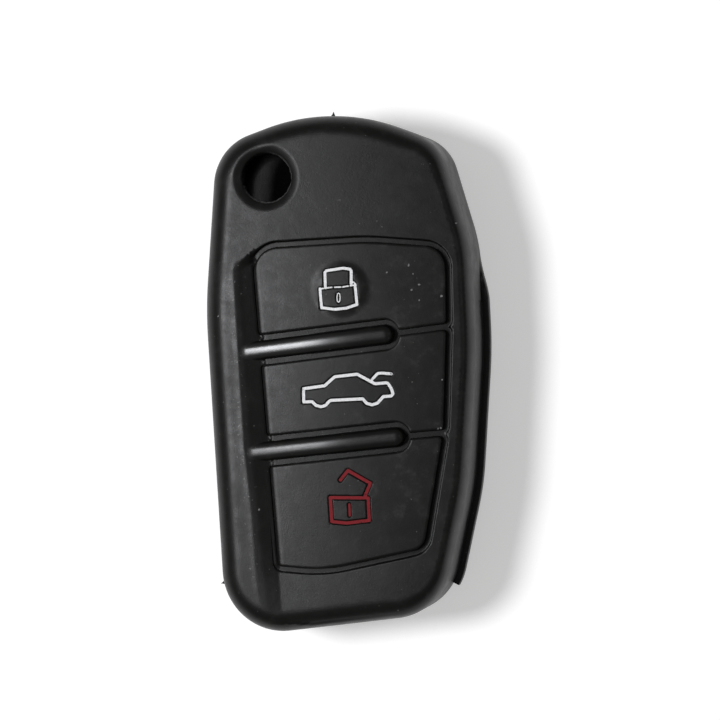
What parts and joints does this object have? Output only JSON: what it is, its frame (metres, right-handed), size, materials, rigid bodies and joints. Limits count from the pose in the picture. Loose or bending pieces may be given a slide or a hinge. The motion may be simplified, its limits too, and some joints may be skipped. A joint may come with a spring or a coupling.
{
  "type": "key fob cover",
  "caption": "Moulded silicone cover for a folding key fob, with button pads on flexing webs, finger ribs, a stepped release window and a blade slot.",
  "frame": {"origin": "centre of the cover's flat back, on the surface that it lies on", "axes": "+Z out of the button face, +Y towards the end with the release window, +X towards the side lip; the blade slot is on the -X side"},
  "size_m": [0.0406, 0.075, 0.0185],
  "materials": {
    "rubber": "matt moulded silicone",
    "pad_rubber": "matt moulded silicone"
  },
  "bodies": {
    "cover": {"sleeve": "rubber", "lock_web": "rubber", "boot_web": "rubber", "unlock_web": "rubber"},
    "lock_button": {"lock_pad": "pad_rubber"},
    "boot_button": {"boot_pad": "pad_rubber"},
    "unlock_button": {"unlock_pad": "pad_rubber"}
  },
  "joints": [
    {"name": "lock_press", "type": "slide", "parent": "cover", "child": "lock_button", "axis": [0, 0, -1], "range_m": [0, 0.0006], "stiffness_N_per_m": 1500, "deforming": ["lock_web"]},
    {"name": "boot_press", "type": "slide", "parent": "cover", "child": "boot_button", "axis": [0, 0, -1], "range_m": [0, 0.0006], "stiffness_N_per_m": 1500, "deforming": ["boot_web"]},
    {"name": "unlock_press", "type": "slide", "parent": "cover", "child": "unlock_button", "axis": [0, 0, -1], "range_m": [0, 0.0006], "stiffness_N_per_m": 1500, "deforming": ["unlock_web"]}
  ]
}
